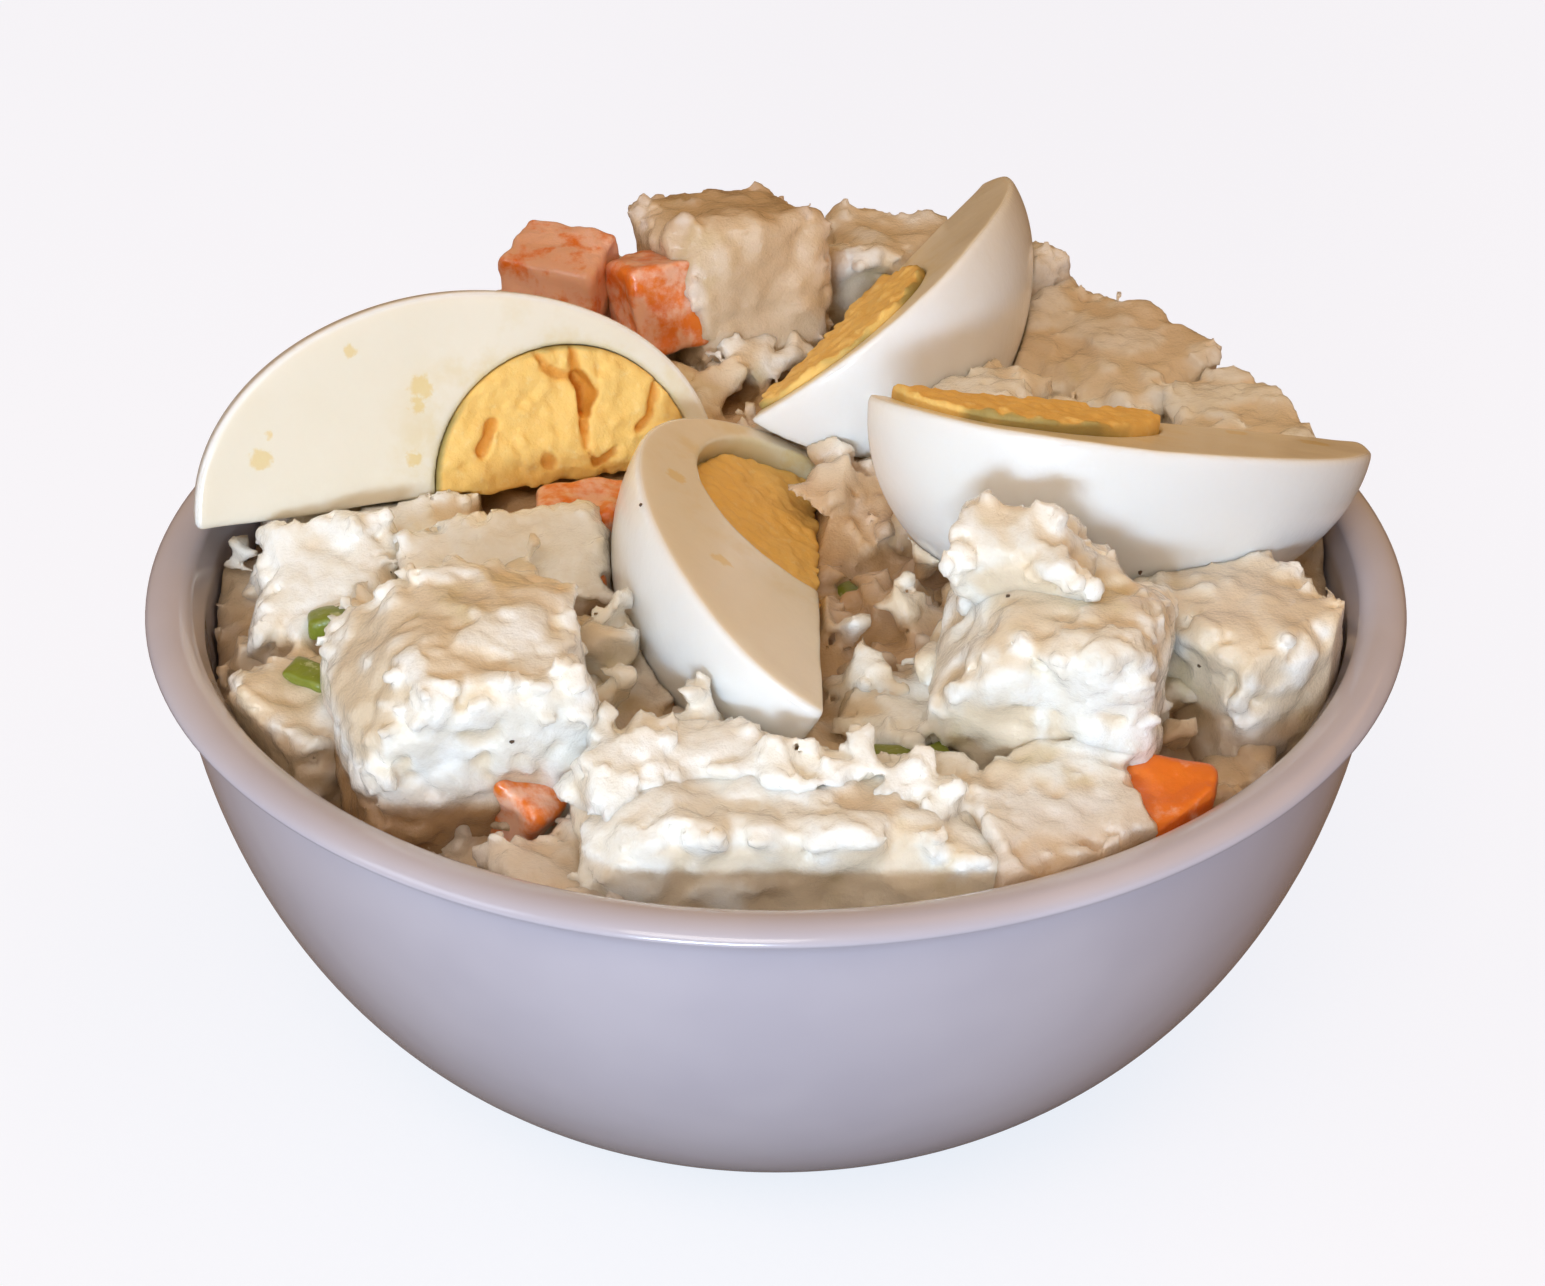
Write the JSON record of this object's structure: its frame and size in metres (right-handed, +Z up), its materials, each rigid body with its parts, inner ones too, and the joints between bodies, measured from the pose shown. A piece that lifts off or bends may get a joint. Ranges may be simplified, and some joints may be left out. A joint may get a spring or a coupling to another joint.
{
  "type": "bowl of potato salad",
  "caption": "Round glazed bowl heaped with chunky potato salad, carrot and celery, topped with quarters of boiled egg.",
  "frame": {"origin": "centre of the bowl's flat foot, on the surface it stands on", "axes": "+Z up out of the bowl, -Y towards the side the picture shows, +X to the right of that view"},
  "size_m": [0.13, 0.13, 0.0765],
  "materials": {
    "bowl_glaze": "glossy white glaze, faintly lilac",
    "salad": "moist crumbly potato in mayonnaise, satin",
    "egg_white": "smooth moist boiled egg white, glossy",
    "egg_yolk": "dry grainy boiled yolk, matt"
  },
  "bodies": {
    "root": {"bowl": "bowl_glaze", "salad_heap": "salad", "egg_white_1": "egg_white", "egg_white_2": "egg_white", "egg_white_3": "egg_white", "egg_white_4": "egg_white", "egg_yolk_1": "egg_yolk", "egg_yolk_2": "egg_yolk", "egg_yolk_3": "egg_yolk", "egg_yolk_4": "egg_yolk"}
  },
  "joints": []
}
